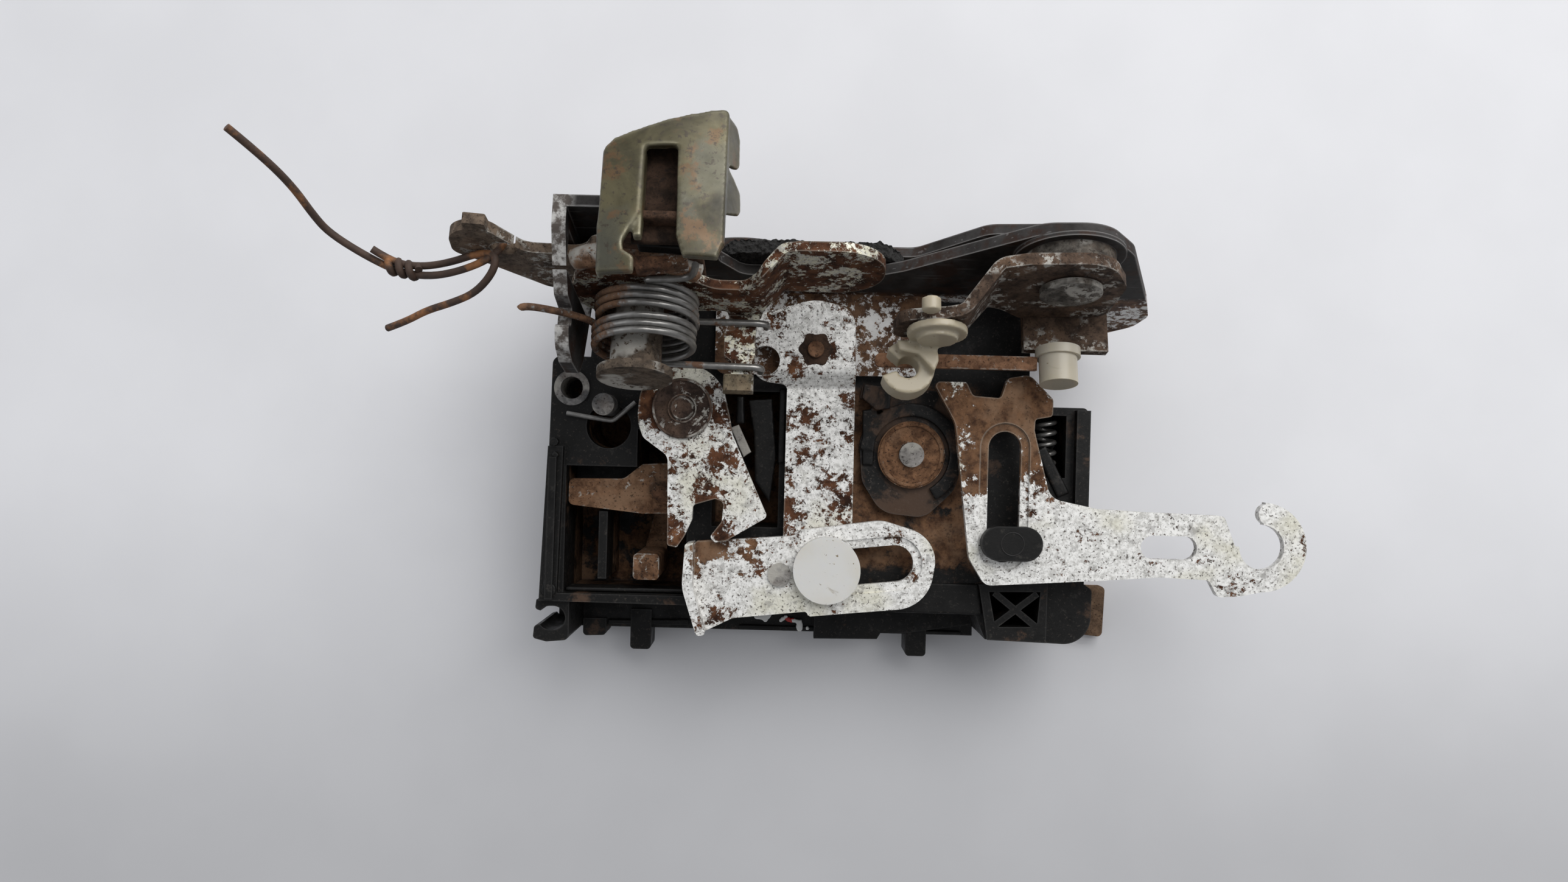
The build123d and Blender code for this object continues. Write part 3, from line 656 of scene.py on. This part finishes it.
def bracket():
    """The release lever's folded bracket with its window, and the stem and back plate behind it."""
    face = [
        (-27.6, -4.8), (-26.2, -6.2), (-23.6, -7.2), (-18.3, -9.2), (-12, -11), (-10, -11.4),
        (-9.5, -10.8), (-9.6, 10.4), (-10.4, 12.5), (-15.4, 12.5), (-16.4, 9.6), (-16.8, -4.9),
        (-21.8, -4.7), (-22, 6), (-24.2, 10.4), (-24, 11.8), (-22.4, 12.7), (-22.4, 14.9),
        (-27.9, 15), (-28.1, 8),
    ]
    lip = [
        (-27.6, -4.8), (-26.2, -6.2), (-23.6, -7.2), (-18.3, -9.2), (-12, -11), (-9.8, -11.4),
        (-9.8, -10), (-18.3, -7.8), (-26, -4.6),
    ]
    side = [
        (-11.2, 44.4), (-11.2, 40), (-9.6, 38.8), (-5, 38.6), (-4.2, 39.4), (-3, 43),
        (-2.2, 40.4), (-1, 38), (2, 37.6), (3, 38.4), (5, 43), (10.4, 43), (10.4, 44.4),
    ]
    blocks = [
        (face, 43.3, 44.8, facing),
        (lip, 40.8, 44.6, facing),
        (side, -10.6, -9.4, flank),
        ([(-4.6, 44.4), (-4.6, 41.4), (6, 41.2), (9.6, 42.4), (9.6, 44.4)], -22.8, -21.5, flank),
        ([(-4.6, 44.4), (-4.6, 42), (15, 42), (15, 44.4)], -28.0, -27.0, flank),
    ]

    def bend(place):
        """Lets the top sag towards its ends and front, and splays the right flange outward."""
        local = place - FOLD
        s, n, x = local.dot(ALONG_S), local.dot(ALONG_N), place.x
        drop = 0.9 * ((x + 18.7) / 9.3) ** 2 + 0.7 * max(0, n - 9) ** 2 / 30
        splay = 0.36 * max(0, 43.2 - s) if x > -11 else 0
        return place - ALONG_S * drop + Vector((splay, 0, 0))

    sheet = [(-23.5, -7), (-13.5, -8), (-13.5, 9), (-23.5, 9)]
    back = moulded("release_bracket_back", [(sheet, 39.4, 40.6, facing)], 0.35, 2)
    # Painted shade: the back plate behind the window is coloured near black.
    shaded = rusty("back_rust_painted_shade", (0.012, 0.008, 0.006), (0.05, 0.028, 0.018), 0.05, 8.0, 0.0)
    wear(back, "release", "olive_chromate", shaded)
    plate = moulded("release_bracket_plate", blocks, 0.26, 7, bend)
    arm = [(-20, 12), (-13.5, 12), (-13.5, 43.2), (-27, 43.2), (-27, 29)]
    stem = moulded("release_bracket_stem", [(arm, 4.9, 6.3, at)], 0.35, 2)
    wear(plate, "release", "olive_chromate", olive_chromate("bracket_chromate", 0.3), "release_bracket")
    brown = rusty("stem_rust", (0.03, 0.018, 0.012), (0.10, 0.055, 0.035), 0.1, 7.0, 0.0)
    wear(stem, "release", "olive_chromate", brown, "release_bracket")
    bands = [
        ([(-22.6, 4.4), (-16, 5.2), (-15.6, 6.8), (-22.8, 6.2)], 36, 39.5, facing),
        ([(-22.8, 6.6), (-15.4, 7.4), (-15.2, 9), (-22.8, 8.6)], 36, 38.6, facing),
    ]
    rubber = moulded("window_bumper", bands, 0.25, 3)
    wear(rubber, "release", "black_plastic", black_plastic("bumper_plastic", 0.15, 4.4))
    tip = [(-23.4, 9.6), (-15.4, 9.2), (-15, 11), (-23, 12)]
    tongue = moulded("window_tongue", [(tip, 34.5, 37.2, facing)], 0.3, 3)
    wear(tongue, "release", "olive_chromate", rusty("tongue_rust", seed=2.2, dust=0.5, bare=0.15))


def binding():
    """The binding wire: two strands, a long one with a free end and a short loop, twisted together."""
    long_end = [
        (-83.9, 44.4, 69), (-80.6, 41.4, 65), (-77.7, 37.8, 60), (-76, 34, 55.5), (-74.4, 31.7, 53),
        (-69, 28.4, 51.4), (-63.5, 25.9, 50.6), (-58, 25.2, 52), (-52, 26, 55), (-47, 28, 56.4),
        (-45.4, 30.6, 55.2), (-46, 32, 53),
    ]
    short_end = [
        (-66.9, 17.2, 46), (-63, 18.2, 48.4), (-59.3, 19.9, 50), (-54.6, 21, 52.2), (-50.1, 22.5, 54.4),
        (-46.8, 25.6, 56.6), (-46.4, 28.4, 56.6), (-49.4, 28.8, 55.4), (-55, 27.4, 52.8),
        (-60, 26.8, 51.6), (-64.5, 27.4, 51.4), (-67.6, 29.4, 52.6),
    ]
    twist_start, twist_end = Vector((-65.6, 27.0, 51.2)), Vector((-60.2, 25.9, 51.4))
    turns, reach, places = 3.2, 1.1, 30
    coil = []
    for i in range(places):
        share = i / (places - 1)
        angle = share * math.tau * turns
        around = Vector((0.25, reach * math.cos(angle), reach * math.sin(angle)))
        coil.append(twist_start.lerp(twist_end, share) + around)
    runs = [[Vector(p) for p in long_end], [Vector(p) for p in short_end], coil]
    piece = wire("binding_wire", runs, BINDING_WIRE)
    wear(piece, "release", "rusty_wire", iron_wire("binding_iron"), "tie_wire", "tie_loop")


def clip():
    """The nylon rod clip: a disc with a pin, a nub beside it, and a hooked arm that hangs below."""
    x, s = ROD_CLIP
    arm = [(18.4, 14.2), (25.0, 14.2), (25.4, 17.6), (24.6, 19.6), (22.0, 16.6), (18.8, 16.0)]
    blocks = [
        (circle((x, s), 5), 13.2, 14.5, at),
        (circle((x, s), 1.8), 11.4, 13.4, at),
        (circle((x, s), 3.4), 14.4, 15.4, at),
        (circle((x - 1.7, s + 6.2), 1.55), 10.4, 12.6, at),
        (arm, 10.8, 16, facing),
        (collar((20.4, 18.2), 4.6, 1.9, 222, 520), 9.4, 13.8, facing),
    ]
    piece = moulded("rod_clip_body", blocks, 0.25, 4)
    wear(piece, "rod_clip", "nylon", nylon("clip_nylon_body", 0.95, 2.5), "rod_clip")


def roll():
    """The rolled upper edge of the transfer lever."""
    places = [(-33.6, 28.2, 6.6), (-31, 30, 6.4), (-26, 30.6, 6.4), (-19, 29.2, 6.6), (-14.8, 25.4, 7)]
    rod = wire("transfer_roll", [[at(*place) for place in places]], 1.9)
    brown = rusty("roll_rust", (0.10, 0.055, 0.035), (0.30, 0.17, 0.10), 0.6, 3.3, 0.26)
    wear(rod, "transfer", "zinc_rust", brown)


def pin_recess():
    """The recess round the strap's pin, with the pin's rusty end standing in it."""
    x, y = STRAP_PIN
    lobes, points = 6, []
    for i in range(48):
        angle = math.tau * i / 48
        radius = 2.95 + 0.28 * math.cos(lobes * angle)
        points.append((x + radius * math.cos(angle), y + radius * math.sin(angle)))
    cup = moulded("strap_pin_cup", [(points, STRAP_TOP - 0.7, STRAP_TOP + 0.06, deck)], 0.16, 1)
    # Painted shade: the recess round the pin is coloured near black.
    shaded = rusty("cup_rust_painted_shade", (0.015, 0.010, 0.008), (0.06, 0.034, 0.022), 0.05, 1.5, 0.03)
    wear(cup, "strap", "zinc_rust", shaded, "strap_pin")
    end = moulded("strap_pin_end", [(circle(STRAP_PIN, 1.5), 24, STRAP_TOP + 0.9, deck)], 0.2, 3)
    orange = rusty("pin_rust", (0.06, 0.03, 0.018), (0.24, 0.12, 0.065), 0.3, 1.1, 0.03)
    wear(end, "strap", "zinc_rust", orange, "strap_pin")


def rings():
    """The turned ring of the cam's rivet, the parting ring of the oval guide and the rib of the washer."""
    turned = [(ring(CAM, 2.6, 2.3), 34.4, 34.95, deck), (ring(CAM, 5.3, 4.9), 34.4, 34.9, deck)]
    cam = moulded("cam_rivet_rings", turned, 0.15, 1)
    brown = rusty("ring_rust", (0.05, 0.035, 0.028), (0.15, 0.10, 0.075), 0.2, 2.8, 0.2)
    wear(cam, "case", "rusty_steel", brown)
    guide = moulded("oval_guide_ring", [(ring(OVAL_GUIDE, 2.15, 1.9), 36.0, 36.32, deck)], 0.12, 1)
    wear(guide, "case", "black_plastic", black_plastic("ring_plastic", 0.1, 5.1))
    washer = moulded("washer_rib", [(ring(ROCKER, 5.9, 5.2), 29.2, 29.65, deck)], 0.15, 2)
    orange = rusty("rib_rust", (0.07, 0.035, 0.02), (0.25, 0.13, 0.068), 0.5, 1.9, 0.02)
    wear(washer, "case", "rusty_steel", orange)


def horn():
    """The rocker's raised horn and the collar round its washer."""
    blocks = [
        ([(13.9, 8.2), (14.3, 10.6), (19.2, 10.2), (19.0, 6.4), (16.6, 6.0)], 27.6, 30.4, deck),
        (collar(ROCKER, 9.4, 7.0, -60, 175), 27.6, 28.9, deck),
        ([(14.2, 6.0), (16.8, 6.4), (16.4, -4), (14.4, -4)], 27.6, 28.8, deck),
    ]
    piece = moulded("rocker_horn", blocks, 0.22, 2)
    wear(piece, "rocker", "black_plastic", black_plastic("horn_plastic", 0.55, 2.1))


def mouldings():
    """Small ribs, ledges and lips of the housing, and the bright tab in its middle pocket."""
    pieces = [
        ([(-39.8, -5.6), (-27.2, -5.6), (-27.2, -9), (-39.8, -9)], 14, 17, deck),
        ([(-39.6, -28.8), (-17.6, -28.6), (-17.6, -27.9), (-39.6, -28)], 20, 25.4, deck),
        ([(-43.4, -27.6), (-42.6, -27.6), (-42.2, -5), (-43, -5)], 27.4, 28.1, deck),
        (circle((-42.3, -28.3), 1.35), 27.4, 28.3, deck),
        (circle((-41.9, -1.2), 0.8), 27.4, 28.6, deck),
        (circle((-41.7, -3.6), 0.6), 27.4, 28.4, deck),
        ([(21.4, -25.4), (36.4, -25.4), (37.2, -31), (21, -31)], 26.0, 26.9, deck),
        ([(-34, -36.2), (-18, -35.8), (-18, -36.9), (-34, -37.2)], 9, 9.8, deck),
        ([(-8, -36.6), (36, -36.8), (36, -37.6), (-8, -37.4)], 9, 9.9, deck),
        ([(-17.4, 3), (-14.4, 3), (-14.4, -14), (-17.4, -14)], 22, 25.8, deck),
        ([(-1, -4), (0.2, -4), (0.2, 9.6), (-1, 9.6)], 26, 27.4, deck),
        ([(-6.8, 7.4), (-2.4, 7.8), (-1.4, -3), (-2.4, -11.5), (-5.2, -7.5), (-5.6, 1)], 19, 25.2, deck),
        ([(-8.8, 8), (-7.6, 8), (-7.4, 3), (-9, 3)], 22, 26.6, deck),
        ([(46.4, -0.6), (48.2, 0.4), (52.8, -8.2), (50.6, -9.2)], 23.4, 26.6, deck),
    ]
    body = moulded("housing_mouldings", pieces, 0.22, 2)
    wear(body, "case", "black_plastic", black_plastic("moulding_plastic", 0.25, 6.4))
    leaning = [(-9.9, 2.2), (-8.4, 2.8), (-6.0, -2.2), (-7.4, -3.2)]
    tab = moulded("pocket_tab", [(leaning, 25.2, 26.8, deck)], 0.2, 3)
    bright = rusty("tab_steel", (0.20, 0.19, 0.18), (0.50, 0.48, 0.45), 0.1, 1.8, 0.3)
    wear(tab, "case", "rusty_steel", bright)


def flecks():
    """White and red paint that has dripped on the housing's lower edge."""
    rng = random.Random(11)
    white_spots = [
        (-3.4, -33.2, 1.3), (-2.2, -33.0, 1.2), (0.6, -35.2, 0.7), (3.2, -36.0, 1.1), (5.0, -36.4, 1.2),
    ]
    red_spots = [(2.2, -35.2, 0.75), (1.4, -35.0, 0.5)]
    paints = (
        ("white_paint", (0.72, 0.72, 0.70), white_spots),
        ("red_paint", (0.42, 0.03, 0.025), red_spots),
    )
    for name, tint, spots in paints:
        blocks = []
        for x, y, size in spots:
            low, high = (9.2, 10.1) if y < -34 else (20.5, 21.2)
            for _ in range(5):
                centre = (x + rng.uniform(-size, size), y + rng.uniform(-size, size) * 0.6)
                blot = arc(centre, size * rng.uniform(0.25, 0.6), 0, 330, 7)
                blocks.append((blot, low, high, deck))
        piece = moulded(name, blocks, 0.2, 1)
        p = Paint(name, 2.0)
        p.bump(p.noise(1500, 5, 0.6), 0.6, 0.0002)
        wear(piece, "case", "black_plastic", p.finish(Base_Color=tint, Roughness=0.5))


def crumble():
    """Breaks up the foam gasket's surface."""
    pad = NODES["striker_gasket"]
    melt = pad.modifiers.new("melt", "REMESH")
    melt.mode = "VOXEL"
    melt.voxel_size = 0.3 * MM
    grain = bpy.data.textures.new("foam_grain", "CLOUDS")
    grain.noise_scale = 0.9 * MM
    grain.noise_depth = 3
    torn = pad.modifiers.new("torn", "DISPLACE")
    torn.texture = grain
    torn.strength = 1.3 * MM
    torn.mid_level = 0.75


springs()
bracket()
binding()
clip()
roll()
pin_recess()
rings()
horn()
mouldings()
flecks()
crumble()


# ---- stage ----
def camera():
    """Looks straight down on the latch."""
    data = bpy.data.cameras.new("camera")
    data.sensor_width = SENSOR
    data.lens = LENS
    data.clip_start = 0.01
    eye = bpy.data.objects.new("camera", data)
    eye.location = (0, 0, EYE_HEIGHT)
    eye.rotation_euler = (0, 0, EYE_TURN)
    bpy.context.scene.collection.objects.link(eye)
    bpy.context.scene.camera = eye


def lamp(name, place, size, power, tint):
    """A soft square lamp that points at the origin."""
    data = bpy.data.lights.new(name, "AREA")
    data.size = size
    data.energy = power
    data.color = tint
    light = bpy.data.objects.new(name, data)
    light.location = place
    light.rotation_euler = (-Vector(place)).to_track_quat("-Z", "Y").to_euler()
    bpy.context.scene.collection.objects.link(light)


def studio():
    """The table, a sky that is brighter towards +Y, and two soft lamps."""
    bpy.ops.mesh.primitive_plane_add(size=3, location=(0, 0, 0))
    floor = bpy.context.object
    floor.name = "floor"
    dress(floor, table_top())
    world = bpy.data.worlds.new("studio")
    world.use_nodes = True
    tree = world.node_tree
    split = tree.nodes.new("ShaderNodeSeparateXYZ")
    ramp = tree.nodes.new("ShaderNodeMapRange")
    tree.links.new(tree.nodes.new("ShaderNodeTexCoord").outputs["Generated"], split.inputs[0])
    tree.links.new(split.outputs["Y"], ramp.inputs["Value"])
    for label, number in (("From Min", -0.7), ("From Max", 0.7), ("To Min", 0.20), ("To Max", 0.60)):
        ramp.inputs[label].default_value = number
    tree.links.new(ramp.outputs["Result"], tree.nodes["Background"].inputs["Strength"])
    tree.nodes["Background"].inputs["Color"].default_value = (0.94, 0.96, 1.0, 1)
    bpy.context.scene.world = world
    lamp("ceiling_panel", (0.34, 0.52, 0.72), 0.75, 6.9, (1.0, 0.995, 0.985))
    lamp("side_fill", (-0.7, 0.1, 0.6), 0.6, 0.8, (0.95, 0.97, 1.0))
    bpy.context.scene.view_settings.view_transform = "Standard"


camera()
studio()
